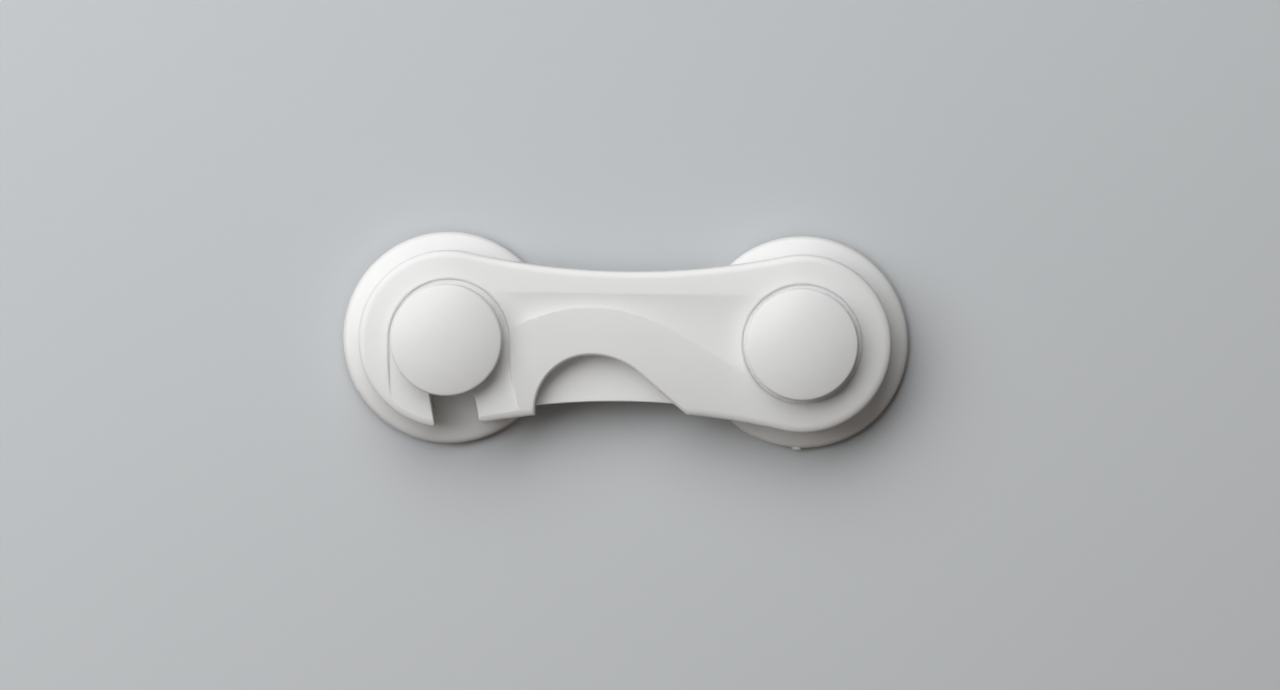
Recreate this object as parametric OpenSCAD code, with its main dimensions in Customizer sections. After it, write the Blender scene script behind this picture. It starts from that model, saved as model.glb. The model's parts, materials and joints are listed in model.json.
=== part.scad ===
// Cabinet safety lock. An arm swings on the neck of one stuck-on disc and its hook drops over the
// neck of the other. X runs along the arm, the door is the plane y = 0, -Y points out of the door
// and +Z is up. The origin is the middle of the hinge pad's back face.
// Every piece is drawn lying flat, with its depth from the door as its height, then stood up.

/* [Overall] */
// Distance between the centres of the two discs
pitch = 70; // [66:0.5:90]

/* [Foam pads] */
// Thickness of each adhesive foam pad
pad_t = 1; // [0.6:0.1:2]
// Width of the disc's rim that the pad leaves bare
pad_margin = 1; // [0.5:0.1:3]

/* [Base discs] */
// Diameter of each base disc
base_d = 42; // [38:0.5:50]
// Thickness of each base disc at its middle
base_t = 3.6; // [3.4:0.1:5]
// Fall of the disc's domed front from its bearing ring to its rim
base_dome = 2; // [1:0.1:2.2]
// Radius of the rounded front rim of each disc
base_edge = 1.2; // [0.4:0.1:1.5]
// Diameter of the neck that carries the arm
neck_d = 6; // [5:0.1:7]
// Diameter of the raised ring that the arm rides on
bearing_d = 16; // [12:0.5:20]
// Height of the raised ring above the disc
bearing_h = 0.4; // [0.2:0.05:1]
// Height of the moulding gate's stub beside the disc's rim
gate_h = 0.35; // [0.2:0.05:0.6]

/* [Caps] */
// Diameter of each round cap
cap_d = 22; // [20:0.5:24]
// Height of each cap from its foot to the top of its dome
cap_h = 5.6; // [5:0.1:8]
// Rise of the dome over the cap's width
cap_dome = 1.8; // [1:0.1:2.2]
// Radius of the cap's rounded rim
cap_edge = 1; // [0.4:0.1:1.5]
// Thickness of the cap's side wall
cap_wall = 1.6; // [1:0.1:2.5]
// Thickness of the cap's top, measured at the cap's rim
cap_top_t = 1.5; // [1:0.1:2]
// Diameter of the boss that takes the screw
cap_boss_d = 8.4; // [7.4:0.1:10]

/* [Screws] */
// Diameter over the screw's thread
screw_d = 2.8; // [2.2:0.1:3]
// Length of the screw under its head
screw_l = 12; // [10.5:0.1:12.4]
// Diameter of the screw's head
screw_head_d = 5.6; // [4.6:0.1:6.4]
// Height of the screw's head
screw_head_t = 1.5; // [1:0.1:1.7]
// Distance from one thread ridge to the next
thread_step = 1; // [0.8:0.1:1.4]
// Depth of the thread
thread_depth = 0.35; // [0.2:0.05:0.5]

/* [Arm] */
// Diameter of the round lobe at each end of the arm
lobe_d = 35; // [34:0.5:40]
// Width of the arm at its waist
waist_w = 27.5; // [24:0.5:32]
// Radius of the rounded front edge of the arm
arm_edge = 1.8; // [0.5:0.1:2]
// Thickness of the arm's front face
face_t = 1.6; // [1.2:0.1:2]
// Thickness of the skirt round the arm
skirt_t = 1.7; // [1.2:0.1:2]
// Depth of the pocket and the ring round the caps
pocket_depth = 1; // [0.6:0.1:2.2]
// Gap between a cap and the wall round it
pocket_gap = 1.1; // [0.5:0.1:1.3]
// Thickness of the pocket's floor
floor_t = 2.8; // [2.2:0.1:3.4]
// Thickness of the wall between the pocket and the hollow of the arm
pocket_wall = 1.5; // [1:0.1:1.8]
// Thickness of the arm's back plate
plate_t = 3; // [2.6:0.1:4]

/* [Hook slot] */
// Distance of the nub's top from the neck's centre, down the slot
nub_s = 10.7; // [10:0.1:11.5]
// Length of the nub's flat top
nub_l = 0.6; // [0.3:0.1:1]
// Length of the slope that leads up to the nub
nub_lead = 1; // [0.6:0.1:1.5]
// Width of the slot's mouth on the hook's side of the neck
mouth_out = 4.5; // [4:0.1:5]
// Width of the slot's mouth on the hinge's side of the neck
mouth_in = 4.1; // [3.8:0.1:5]
// Length over which the slot narrows from its mouth to its seat
throat_l = 1.6; // [1:0.1:2.5]

/* [Finger arch] */
// Distance of the arch's top from the middle of the arm, towards the hook
arch_shift = 6.4; // [4:0.1:8]
// Drop of the arch's top below the line between the necks
arch_drop = 1.8; // [1:0.1:3]
// Radius of the arch on the hook's side
arch_out_r = 12; // [10:0.1:13]
// Radius of the arch on the hinge's side
arch_in_r = 15.5; // [12:0.1:17]
// Slope of the arch's straight flank, in degrees
arch_slope = 40.7; // [36:0.1:50]
// Thickness of the wall round the arch
arch_wall = 1.7; // [1:0.1:2]

/* [Front scoop] */
// Height of the scoop's straight upper crease above the line between the necks
crease_z = 9.5; // [8.5:0.1:10]
// Height of the scoop's lower crest at its highest point
crest_z = 6.6; // [5:0.1:7.5]
// Radius of the crest's round part
crest_r = 31; // [26:0.5:40]
// Slope of the crest's straight part, in degrees
crest_slope = 29.7; // [25:0.1:34]
// Fall of the scoop's surface under the crease, as a share of the distance
crease_fall_share = 0.11; // [0.04:0.01:0.14]
// Fall of the scoop's surface above the crest, as a share of the distance
crest_fall_share = 0.07; // [0.03:0.005:0.08]

/* [Stakes] */
// Diameter of each post that joins the cover to the back plate
stake_d = 2.4; // [1.6:0.1:3]
// Diameter of the melted head of each post
stake_head_d = 3.8; // [3.4:0.1:5]
// Thickness of the melted head of each post
stake_head_t = 0.7; // [0.4:0.1:1]

/* [Clearances] */
// Running gap between the arm and the bearing rings
run_gap = 0.1; // [0.05:0.05:0.4]
// Gap between the back plate and the cover round it
nest_gap = 0.1; // [0.05:0.05:0.2]
// Gap between the neck and the arm's bore
bore_gap = 0.08; // [0.02:0.01:0.1]
// Gap between the neck and the seat of the hook's slot
seat_gap = 0.3; // [0.2:0.05:0.5]
// Gap between the neck and the nub as the neck passes
nub_gap = 0.15; // [0.1:0.05:0.25]
// Gap between a cap's foot and the arm's floor
cap_gap = 0.2; // [0.1:0.05:0.4]
// Gap round each screw's shank
screw_gap = 0.06; // [0.03:0.01:0.1]
// Gap round each post in the back plate
stake_gap = 0.06; // [0.03:0.01:0.1]
// Gap round each screw's head and under it
head_gap = 0.4; // [0.2:0.05:0.6]

/* [Hidden] */
$fn = 120;

// One overrun serves all cuts
overrun = 0.5;
// Hair by which round shapes that meet edge to edge run into each other
lap = 0.05;
// Steps of a rounded edge, of a dome, of a drawn arc and of the arm's lobe and waist
edge_steps = 6;
dome_steps = 8;
arc_steps = 12;
lobe_steps = 28;
waist_steps = 12;

// Radii
base_r = base_d / 2;
neck_r = neck_d / 2;
bearing_r = bearing_d / 2;
cap_r = cap_d / 2;
lobe_r = lobe_d / 2;
bore_r = neck_r + bore_gap;
seat_r = neck_r + seat_gap;
pocket_r = cap_r + pocket_gap;
screw_r = screw_d / 2;
screw_hole_r = screw_r + screw_gap;
stake_r = stake_d / 2;
stake_head_r = stake_head_d / 2;

// Depths from the door, from back to front
base_back = pad_t;
base_front = base_back + base_t;
bearing_front = base_front + bearing_h;
arm_back = bearing_front + run_gap;
plate_front = arm_back + plate_t;
floor_back = plate_front + nest_gap;
floor_front = floor_back + floor_t;
arm_front = floor_front + pocket_depth;
face_back = arm_front - face_t;
cap_back = floor_front + cap_gap;
cap_front = cap_back + cap_h;
recess_front = base_back + screw_head_t + head_gap;
screw_end = recess_front + screw_l;
pilot_front = screw_end + head_gap;

// Small chamfers of the discs' backs and the caps' feet
back_chamfer = 0.3;
foot_chamfer = 0.3;

// Stub of the moulding gate: its width round the rim, its thickness and its places in degrees
gate_w = 1.6;
gate_t = 0.8;
gate_sink = 0.6;
hinge_gate_angle = -92.3;
catch_gate_angle = 0;

// Cross recess of the screws and the crown of their heads
cross_l = 3.4;
cross_w = 0.7;
cross_depth = 0.9;
head_crown = 0.5;
tip_l = 1.2;
tip_r = 0.5;

// Waist: one arc on each side, tangent to both lobes
half_pitch = pitch / 2;
waist_h = waist_w / 2;
waist_r = (half_pitch * half_pitch + waist_h * waist_h - lobe_r * lobe_r) / (2 * (lobe_r - waist_h));
waist_angle = asin(half_pitch / (lobe_r + waist_r));

// Places of the posts, as shares of the half pitch along the arm and of the half waist across it
stake_places_shares = [[-0.43, 0.52], [0.4, 0.5], [0.55, -0.45]];

// Ends of the scoop, as shares of the lobe's radius short of the necks, and the fall from each end
scoop_out_share = 0.5;
scoop_in_share = 0.48;
scoop_out_x = half_pitch - lobe_r * scoop_out_share;
scoop_in_x = half_pitch - lobe_r * scoop_in_share;
end_fall_share = 0.06;

// Points of an arc round c, from angle a up to, but without, angle b
function arc_points(c, r, a, b, steps) =
    [for (i = [0:steps - 1]) let (t = a + (b - a) * i / steps) c + r * [cos(t), sin(t)]];

// The arm's dog-bone outline, drawn in by inset: hinge lobe, upper waist, catch lobe, lower waist
function arm_outline(inset) =
    let (
        r = lobe_r - inset,
        w = waist_r + inset,
        lobe_end = 90 + waist_angle,
        waist_c = [-half_pitch, waist_h + waist_r],
        catch_c = [-pitch, 0]
    )
    concat(
        arc_points([0, 0], r, -lobe_end, lobe_end, lobe_steps),
        arc_points(waist_c, w, lobe_end - 180, -lobe_end, waist_steps),
        arc_points(catch_c, r, 180 - lobe_end, 180 + lobe_end, lobe_steps),
        arc_points([waist_c[0], -waist_c[1]], w, lobe_end, 180 - lobe_end, waist_steps)
    );

// A place beside the neck in the hook: u outward from the swing circle, s down along it
function hook_point(u, s) =
    let (t = 180 + s / pitch * 180 / PI) (pitch + u) * [cos(t), sin(t)];

// Angle that an arc length s takes up on the swing circle
function swing_angle(s) = s / pitch * 180 / PI;

// Quarter round from a side at radius r to a face at depth front; side is 1 for an outer rim, -1 inner
function edge_points(r, front, edge, side) =
    edge == 0 ? [[r, front]] :
    [for (i = [0:edge_steps]) let (t = 90 * i / edge_steps)
        [r - side * edge * (1 - cos(t)), front - edge * (1 - sin(t))]];

// Stands a flat-drawn piece up against the door
module on_door() {
    rotate([90, 0, 0]) children();
}

module at_catch() {
    translate([-pitch, 0, 0]) children();
}

module at_arm_middle() {
    translate([-half_pitch, 0, 0]) children();
}

// Outer half of a domed top that is level at radius start and falls by fall out to radius r, and
// whose rim is rounded by edge. It runs inwards, from the side to the dome's level place.
function dome_points(start, r, front, fall, edge, steps) =
    let (
        run = r - start,
        dome_r = (run * run + fall * fall) / (2 * fall),
        rim_angle = asin((run - edge) / (dome_r - edge)),
        rim_c = [r - edge, front - dome_r + (dome_r - edge) * cos(rim_angle)]
    )
    concat(
        [for (i = [0:edge_steps]) let (t = (90 - rim_angle) * i / edge_steps)
            rim_c + edge * [cos(t), sin(t)]],
        [for (i = [1:steps]) let (t = rim_angle * (1 - i / steps))
            [start + dome_r * sin(t), front - dome_r * (1 - cos(t))]]
    );

// One domed disc with its bearing ring, neck, screw hole, head recess and gate stub
module base_form(gate_angle) {
    rotate_extrude() polygon(concat(
        [[screw_hole_r, recess_front], [screw_head_d / 2 + head_gap, recess_front]],
        [[screw_head_d / 2 + head_gap, base_back], [base_r - back_chamfer, base_back]],
        [[base_r, base_back + back_chamfer]],
        dome_points(bearing_r, base_r, base_front, base_dome, base_edge, dome_steps),
        [[bearing_r, bearing_front], [neck_r, bearing_front]],
        [[neck_r, cap_back], [screw_hole_r, cap_back]]
    ));
    rotate([0, 0, gate_angle])
        translate([base_r - gate_sink, -gate_w / 2, base_back + back_chamfer])
            cube([gate_sink + gate_h, gate_w, gate_t]);
}

// One round cap: domed top, rounded rim, hollow underside and a boss with its pilot hole
module cap_form() {
    hollow_front = cap_front - cap_dome - cap_top_t + cap_edge / 2;
    rotate_extrude() polygon(concat(
        [[0, pilot_front], [screw_hole_r, pilot_front], [screw_hole_r, cap_back]],
        [[cap_boss_d / 2, cap_back], [cap_boss_d / 2, hollow_front]],
        [[cap_r - cap_wall, hollow_front], [cap_r - cap_wall, cap_back]],
        [[cap_r - foot_chamfer, cap_back], [cap_r, cap_back + foot_chamfer]],
        dome_points(0, cap_r, cap_front, cap_dome, cap_edge, dome_steps)
    ));
}

// One self-tapping screw, head towards the door, with its thread as plain ridges
module screw_form() {
    head_back = recess_front - screw_head_t;
    head_r = screw_head_d / 2;
    root_r = screw_r - thread_depth;
    ridges = floor((screw_l - tip_l) / thread_step);
    difference() {
        rotate_extrude() polygon(concat(
            [[0, head_back], [head_r - head_crown, head_back], [head_r, head_back + head_crown]],
            [[head_r, recess_front], [root_r, recess_front]],
            [for (i = [0:ridges - 1]) each [
                [root_r, recess_front + i * thread_step],
                [screw_r, recess_front + (i + 0.5) * thread_step]
            ]],
            [[root_r, recess_front + ridges * thread_step], [tip_r, screw_end], [0, screw_end]]
        ));
        for (turn = [0, 90])
            rotate([0, 0, turn])
                translate([-cross_l / 2, -cross_w / 2, head_back - overrun])
                    cube([cross_l, cross_w, cross_depth + overrun]);
    }
}

module pad_form() {
    cylinder(r = base_r - pad_margin, h = pad_t);
}

// The arm's dog-bone between two depths, drawn in by inset
module arm_form(inset, back, front) {
    translate([0, 0, back]) linear_extrude(front - back) polygon(arm_outline(inset));
}

// The same with its front edge rounded: rings of outline points, joined by triangles. The back and
// the front are closed by strips across the arm, from the hinge's tip to the hook's.
module rounded_arm_form(back, front, edge) {
    rings = concat([[0, back]], edge_points(0, front, edge, -1));
    count = len(arm_outline(0));
    last = len(rings) - 1;
    tip = lobe_steps / 2;
    strips = [for (k = [0:count / 2 - 1]) let (
        a = tip + k, b = a + 1, c = (tip - k - 1 + count) % count, d = (tip - k + count) % count
    ) each [if (b != c) [a, b, c], if (a != d) [a, c, d]]];
    polyhedron(
        points = [for (ring = rings) each [for (p = arm_outline(ring[0])) [p[0], p[1], ring[1]]]],
        faces = concat(
            strips,
            [for (k = [0:last - 1]) each [for (i = [0:count - 1]) each let (
                a = k * count + i, b = k * count + (i + 1) % count
            ) [[a, a + count, b + count], [a, b + count, b]]]],
            [for (f = strips) [for (i = [2:-1:0]) last * count + f[i]]]
        )
    );
}

// A channel along the swing circle, half as wide each side, from over the catch neck down by s
module swing_channel(half, s, back, front) {
    height = front - back;
    at_catch() rotate_extrude(angle = 180) translate([0, back]) square([half, height]);
    rotate([0, 0, 180]) rotate_extrude(angle = swing_angle(s))
        translate([pitch - half, back]) square([2 * half, height]);
}

// The hook's slot between two depths: seat, throat with its nub, and mouth
module hook_slot(back, front) {
    throat_s = nub_s - nub_l - nub_lead / 2;
    seat_s = throat_s - throat_l;
    end_s = lobe_d;
    nub_u = neck_r + nub_gap;
    swing_channel(seat_r, seat_s, back, front);
    translate([0, 0, back]) linear_extrude(front - back) polygon([
        hook_point(-neck_r, seat_s - throat_l), hook_point(neck_r, seat_s - throat_l),
        hook_point(mouth_out, throat_s), hook_point(mouth_out, lobe_r),
        hook_point(mouth_out, end_s), hook_point(-mouth_in, end_s),
        hook_point(-mouth_in, lobe_r), hook_point(-mouth_in, nub_s + nub_lead),
        hook_point(-nub_u, nub_s), hook_point(-nub_u, nub_s - nub_l),
        hook_point(-seat_r - nub_gap, throat_s)
    ]);
}

// Outline of the finger arch, grown by a wall and reaching down past the arm
function arch_points(grow) =
    let (
        top = [-arch_shift, -arch_drop],
        r_out = arch_out_r + grow,
        r_in = arch_in_r + grow,
        c_out = top - [0, arch_out_r],
        c_in = top - [0, arch_in_r],
        knee = c_in + r_in * [sin(arch_slope), cos(arch_slope)],
        bottom = -lobe_d
    )
    concat(
        [[c_out[0] - r_out, bottom]],
        arc_points(c_out, r_out, 180, 90, arc_steps),
        arc_points(c_in, r_in, 90, 90 - arch_slope, arc_steps),
        [knee, [knee[0] + (knee[1] - bottom) / tan(arch_slope), bottom]]
    );

module arch_form(grow, back, front) {
    at_arm_middle() translate([0, 0, back]) linear_extrude(front - back) polygon(arch_points(grow));
}

// The scoop in the arm's face: it falls from the crease, from the crest and from both ends
module scoop_cut() {
    x_span = scoop_out_x + scoop_in_x;
    // Height over which the falling surfaces are drawn
    drop = crease_z + lobe_r;
    top = arm_front + overrun;
    crest_c = [-arch_shift, crest_z - crest_r];
    far = crest_r + drop;
    at_arm_middle() intersection() {
        // Falls away downwards from the crease
        translate([-scoop_out_x, 0, 0]) rotate([90, 0, 90]) linear_extrude(x_span) polygon([
            [crease_z, arm_front], [crease_z - drop, arm_front - drop * crease_fall_share],
            [crease_z - drop, top], [crease_z, top]
        ]);
        // Falls away from both ends
        rotate([90, 0, 0]) linear_extrude(2 * drop, center = true) polygon([
            [-scoop_out_x, arm_front], [0, arm_front - scoop_out_x * end_fall_share],
            [scoop_in_x, arm_front], [scoop_in_x, top], [-scoop_out_x, top]
        ]);
        // Falls away upwards from the crest: round part, then straight part
        translate([crest_c[0], crest_c[1], 0]) union() {
            rotate([0, 0, 90 - crest_slope]) rotate_extrude(angle = 90) polygon([
                [crest_r, arm_front], [far, arm_front - drop * crest_fall_share],
                [far, top], [crest_r, top]
            ]);
            rotate([0, 0, 90 - crest_slope]) translate([lap, overrun, 0])
                rotate([90, 0, 0]) linear_extrude(x_span) polygon([
                    [crest_r, arm_front], [far, arm_front - drop * crest_fall_share],
                    [far, top], [crest_r, top]
                ]);
        }
    }
}

module at_stakes() {
    at_arm_middle() for (place = stake_places_shares)
        translate([place[0] * half_pitch, place[1] * waist_h, 0]) children();
}

// A post with its melted head between two depths, grown by a gap
module stake_form(gap, back, front) {
    cylinder_from(stake_r + gap, back, front);
    cylinder_from(stake_head_r + gap, back, arm_back + stake_head_t + gap);
}

module cylinder_from(r, back, front) {
    translate([0, 0, back]) cylinder(r = r, h = front - back);
}

// What the front and the back of the arm both leave open: the hook's slot and the hinge bore
module arm_openings() {
    hook_slot(arm_back - overrun, arm_front + overrun);
    cylinder_from(bore_r, arm_back - overrun, arm_front + overrun);
}

module cover_blank() {
    difference() {
        rounded_arm_form(arm_back, arm_front, arm_edge);
        arm_form(skirt_t, arm_back - overrun, floor_back);
        difference() {
            arm_form(skirt_t, floor_back - overrun, face_back);
            arch_form(arch_wall, floor_back - 2 * overrun, arm_front);
            swing_channel(pocket_r + pocket_wall, lobe_d, floor_back - 2 * overrun, arm_front);
            cylinder_from(pocket_r + pocket_wall, floor_back - 2 * overrun, arm_front);
        }
    }
}

module hinge_pad() {
    color("gainsboro") on_door() pad_form();
}

module hinge_base() {
    color("white") on_door() base_form(hinge_gate_angle);
}

module hinge_screw() {
    color("silver") on_door() screw_form();
}

module hinge_cap() {
    color("white") on_door() cap_form();
}

module catch_pad() {
    color("gainsboro") on_door() at_catch() pad_form();
}

module catch_base() {
    color("white") on_door() at_catch() base_form(catch_gate_angle);
}

module catch_screw() {
    color("silver") on_door() at_catch() screw_form();
}

module catch_cap() {
    color("white") on_door() at_catch() cap_form();
}

module arm_cover() {
    color("white") on_door() {
        difference() {
            cover_blank();
            scoop_cut();
            arch_form(0, arm_back - overrun, arm_front + overrun);
            swing_channel(pocket_r, lobe_d, floor_front, arm_front + overrun);
            cylinder_from(pocket_r, floor_front, arm_front + overrun);
            arm_openings();
        }
        at_stakes() stake_form(0, arm_back, face_back);
    }
}

module arm_back_plate() {
    color("white") on_door() difference() {
        arm_form(skirt_t + nest_gap, arm_back, plate_front);
        arm_openings();
        at_stakes() stake_form(stake_gap, arm_back - overrun, plate_front + overrun);
    }
}

hinge_pad();
hinge_base();
hinge_screw();
hinge_cap();
catch_pad();
catch_base();
catch_screw();
catch_cap();
arm_cover();
arm_back_plate();
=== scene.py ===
"""Cabinet safety lock: the finish and the fine shape of every piece, modelled round the packed frame.

Each piece is drawn lying flat in millimetres, X along the arm and Z its depth from the door, as the
solids are. It is then stood up against the door and brought to metres.
"""
import json
import math
from types import SimpleNamespace

import bpy
from bpy.props import FloatProperty, FloatVectorProperty, PointerProperty
from mathutils import Euler, Matrix, Vector

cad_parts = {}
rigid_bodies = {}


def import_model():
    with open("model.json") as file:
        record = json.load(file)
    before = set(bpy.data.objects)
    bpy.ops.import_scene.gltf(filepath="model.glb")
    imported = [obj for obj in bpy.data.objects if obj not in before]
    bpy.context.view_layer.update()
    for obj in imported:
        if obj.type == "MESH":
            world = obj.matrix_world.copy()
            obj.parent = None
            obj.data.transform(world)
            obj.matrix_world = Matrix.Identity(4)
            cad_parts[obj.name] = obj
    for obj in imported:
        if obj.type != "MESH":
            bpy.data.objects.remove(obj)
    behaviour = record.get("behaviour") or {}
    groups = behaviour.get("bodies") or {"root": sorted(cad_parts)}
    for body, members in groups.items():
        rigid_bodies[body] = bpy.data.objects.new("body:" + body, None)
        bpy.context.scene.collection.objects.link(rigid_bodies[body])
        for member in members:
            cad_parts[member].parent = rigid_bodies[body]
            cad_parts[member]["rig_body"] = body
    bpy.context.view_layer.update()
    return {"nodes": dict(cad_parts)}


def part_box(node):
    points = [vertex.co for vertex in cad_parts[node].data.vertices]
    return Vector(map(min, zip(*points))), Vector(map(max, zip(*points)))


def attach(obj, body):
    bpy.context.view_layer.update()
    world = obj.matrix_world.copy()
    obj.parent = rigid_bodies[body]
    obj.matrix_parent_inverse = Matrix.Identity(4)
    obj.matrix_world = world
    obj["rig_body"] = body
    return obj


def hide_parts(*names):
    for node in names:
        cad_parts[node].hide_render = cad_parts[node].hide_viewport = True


bl_info = {
    "name": "Cabinet Safety Lock",
    "version": (1, 0, 0),
    "blender": (4, 5, 0),
    "location": "3D View > Sidebar > Safety Lock",
    "description": "Models and finishes a stick-on cabinet safety lock round its packed frame",
    "category": "Add Mesh",
}

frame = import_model()

MM = 0.001


def depth_range(name):
    """How far a solid's back and front lie from the door, in millimetres"""
    low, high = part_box(name)
    return round(-high.y / MM, 2), round(-low.y / MM, 2)


def radius_along(name, axis):
    """Half a solid's width along one axis, in millimetres"""
    low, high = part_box(name)
    return round((high - low)[axis] / 2 / MM, 2)


def middle_x(name):
    """The middle of a solid along the arm, in millimetres"""
    low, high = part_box(name)
    return round((low.x + high.x) / 2 / MM, 2)


# Sizes that every piece takes over from the solids
PITCH = middle_x("hinge_cap") - middle_x("catch_cap")
PAD_R = radius_along("hinge_pad", 0)
BASE_R = radius_along("hinge_base", 0)
CAP_R = radius_along("hinge_cap", 0)
LOBE_R = radius_along("arm_cover", 2)
PAD_BACK, PAD_FRONT = depth_range("hinge_pad")
BASE_BACK, NECK_FRONT = depth_range("hinge_base")
CAP_BACK, CAP_FRONT = depth_range("hinge_cap")
ARM_BACK, ARM_FRONT = depth_range("arm_cover")
PLATE_BACK, PLATE_FRONT = depth_range("arm_back_plate")

# The lock's two ends, and how far along the arm each lies
ENDS = (("hinge", 0), ("catch", -PITCH))
# Where the posts stand, as shares of the half pitch along the arm and of half the waist across it
POST_SHARES = ((-0.43, 0.52), (0.4, 0.5), (0.55, -0.45))

# How far a cutting tool runs past what it cuts, and how finely round shapes are drawn
OVERRUN = 0.5
TURN_STEPS = 144
LOBE_STEPS = 96
WAIST_STEPS = 48
ARC_STEPS = 32
EDGE_STEPS = 8
CORNER_STEPS = 9
POST_STEPS = 6
CROWN_STEPS = 12
DOME_STEPS = 24
RIM_STEPS = 6
SCOOP_COLUMNS = 96
SCOOP_ROWS = 16
# A rim's curve stops this many degrees short of lying in the face, so that it crosses the face cleanly
RIM_REST = 12
# Edges that turn by more than this stay sharp in the shading
SHARP_ANGLE = 35
# Least distance between two points of a mesh, and least rise from one ring of a tool to the next
MERGE = 0.0005
RING_RISE = 4 * MERGE
# A corner's point moves at most this many times as far as the sides that meet in it
MITRE_LIMIT = 2.5
# How many places a millimetre are tried to find where the slot leaves the arm
TRIES_PER_MM = 100
# A face of a pad whose normal leans this much towards the door or away from it is filmed
FACING = 0.9

# Where each lamp stands from the lock and how wide its oval is, in metres. The key lamp is very
# broad and stands up on the left, and the back lamp shines from behind the board.
LAMPS = {
    "key": ((-0.447, -0.719, 0.532), (2, 0.95)),
    "fill": ((0.75, -1.1, -0.15), (0.9, 0.9)),
    "back": ((-0.25, 1.3, -0.2), (0.5, 0.5)),
}

# Sockets of a colour mix, by number: its two colours and its result
FIRST_COLOUR = 6
SECOND_COLOUR = 7
MIXED = 2


def linear(code):
    """An sRGB hex colour as linear values"""
    values = [int(code[i:i + 2], 16) / 255 for i in (1, 3, 5)]
    return tuple(v / 12.92 if v <= 0.04045 else ((v + 0.055) / 1.055) ** 2.4 for v in values)


def length(label, size_mm, about, least_mm=0):
    """A length property, written here in millimetres and kept in metres"""
    return FloatProperty(
        name=label, description=about, default=size_mm * MM, min=least_mm * MM, precision=5,
        unit="LENGTH")


def angle(label, degrees, about):
    return FloatProperty(
        name=label, description=about, default=math.radians(degrees), subtype="ANGLE")


def share(label, value, about):
    return FloatProperty(name=label, description=about, default=value, min=0, subtype="FACTOR")


def power(label, watts, about):
    return FloatProperty(name=label, description=about, default=watts, min=0, unit="POWER")


def colour(label, code, about):
    return FloatVectorProperty(
        name=label, description=about, default=linear(code), min=0, max=1, subtype="COLOR")


def in_mm(group):
    """A property group's values, with its lengths in millimetres and its angles in degrees"""
    values = {}
    for p in group.bl_rna.properties:
        if p.identifier in ("rna_type", "name"):
            continue
        value = getattr(group, p.identifier)
        if p.unit == "LENGTH":
            value = round(value / MM, 4)
        elif p.subtype == "ANGLE":
            value = round(math.degrees(value), 4)
        values[p.identifier] = value
    return SimpleNamespace(**values)


class LockDiscSizes(bpy.types.PropertyGroup):
    """Sizes of the base discs and their foam pads"""
    thickness: length("Thickness", 3.6, "Thickness of a base disc at its middle")
    dome: length("Dome", 2, "Fall of the domed front from the bearing ring to the rim")
    rim_w: length("Rim width", 1.3, "Width over which the front rounds over into the side")
    rim_h: length("Rim height", 1, "Height of that rounding on the disc's side")
    back_chamfer: length("Back chamfer", 0.3, "Chamfer round the back of a disc")
    neck_r: length("Neck radius", 3, "Radius of the neck that carries the arm")
    bearing_r: length("Bearing radius", 8, "Radius of the raised ring that the arm rides on")
    bearing_h: length("Bearing height", 0.4, "Height of the raised ring")
    soft: length("Softened corner", 0.15, "Chamfer at the bearing ring's foot and at the neck's end")
    screw_hole_r: length("Screw hole radius", 1.46, "Radius of the screw's hole")
    head_recess_r: length("Head recess radius", 3.2, "Radius of the recess for the screw's head")
    head_recess_front: length("Head recess front", 2.9, "Depth at which the head's recess ends")
    gate_w: length("Gate width", 1.6, "Width of the moulding gate's stub on the rim")
    gate_t: length("Gate thickness", 0.8, "Thickness of the gate's stub")
    gate_h: length("Gate height", 0.35, "How far the gate's stub stands out from the rim")
    gate_root: length("Gate root", 0.6, "How deep the gate's stub is sunk in the rim")
    gate_soft: length("Gate softness", 0.12, "Bevel of the gate's broken edges")
    gate_angle: angle("Gate angle", -92.3, "Place of the gate on the hinge disc's rim")
    foam_inset: length("Foam inset", 0.12, "How far the foam's cut edge lies inside its film")
    film_t: length("Film thickness", 0.14, "Thickness of the adhesive film on each side of a pad")
    foam_lead: length("Foam lead", 0.07, "Height over which the foam's edge draws in from its film")


class LockCapSizes(bpy.types.PropertyGroup):
    """Sizes of the round caps"""
    dome: length("Dome", 1.8, "Rise of the dome over the cap's width")
    edge: length("Edge radius", 0.6, "Radius of the cap's rounded rim")
    wall: length("Wall", 1.6, "Thickness of the cap's side wall")
    top_t: length("Top", 1.2, "Thickness of the cap's top under the foot of its dome")
    boss_r: length("Boss radius", 4.2, "Radius of the boss that takes the screw")
    pilot_front: length("Pilot front", 15.3, "Depth at which the screw's pilot hole ends")
    foot_chamfer: length("Foot chamfer", 0.3, "Chamfer round the cap's foot")


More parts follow.
